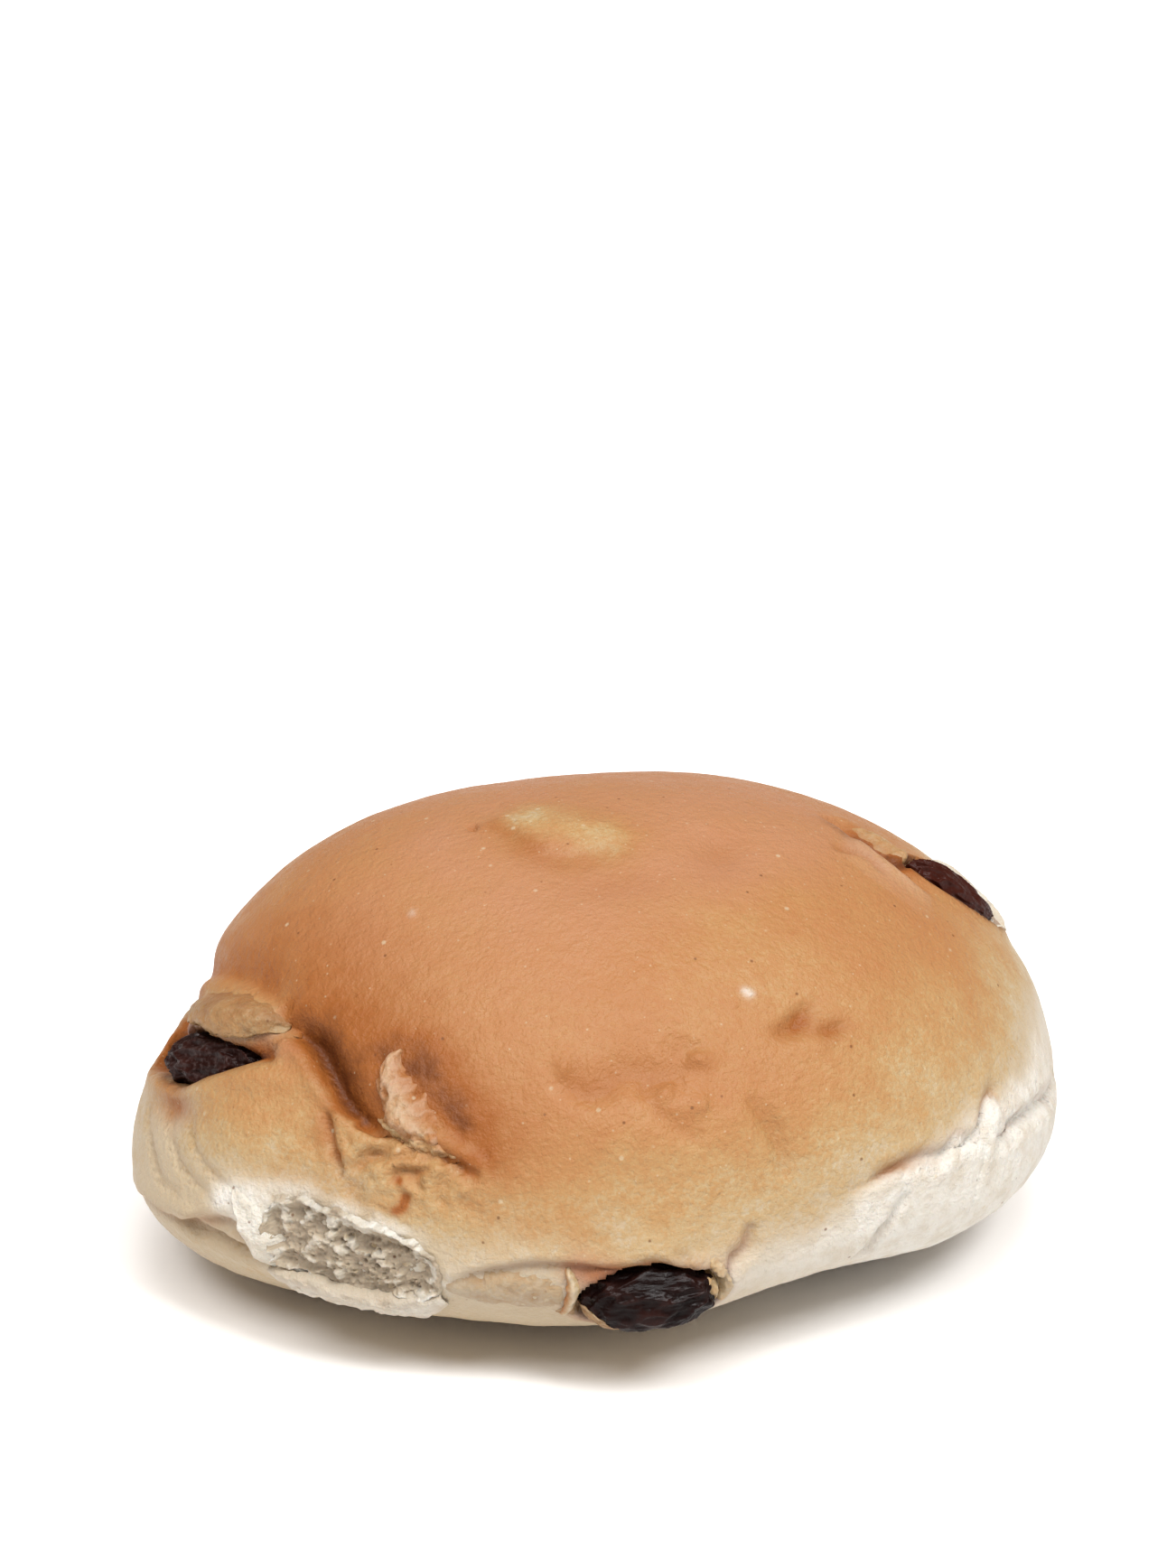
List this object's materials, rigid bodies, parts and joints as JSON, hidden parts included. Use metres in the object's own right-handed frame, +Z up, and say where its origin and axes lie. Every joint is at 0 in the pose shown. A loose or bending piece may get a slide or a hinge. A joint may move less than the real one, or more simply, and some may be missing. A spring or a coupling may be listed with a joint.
{
  "type": "raisin bread roll",
  "caption": "Oval soft bread roll with dark raisins bursting through a folded, partly torn golden crust; rests on a small flat spot.",
  "frame": {"origin": "bottom centre of the roll's box, on the surface that the roll rests on", "axes": "+X along the roll's longer side, +Y away from the side with the low front raisin, +Z up"},
  "size_m": [0.0994, 0.0852, 0.0477],
  "materials": {
    "crust": "soft baked bread crust, satin, golden brown on the crown, caramel brown in the folds, pale flour white on the low flanks, torn crumb at the front left",
    "raisin_skin": "dried raisin skin, near black red brown, wrinkled, sticky gloss"
  },
  "bodies": {
    "root": {"roll": "crust", "raisin_left": "raisin_skin", "raisin_front": "raisin_skin", "raisin_right": "raisin_skin", "raisin_back": "raisin_skin", "raisin_back_low": "raisin_skin"}
  },
  "joints": []
}
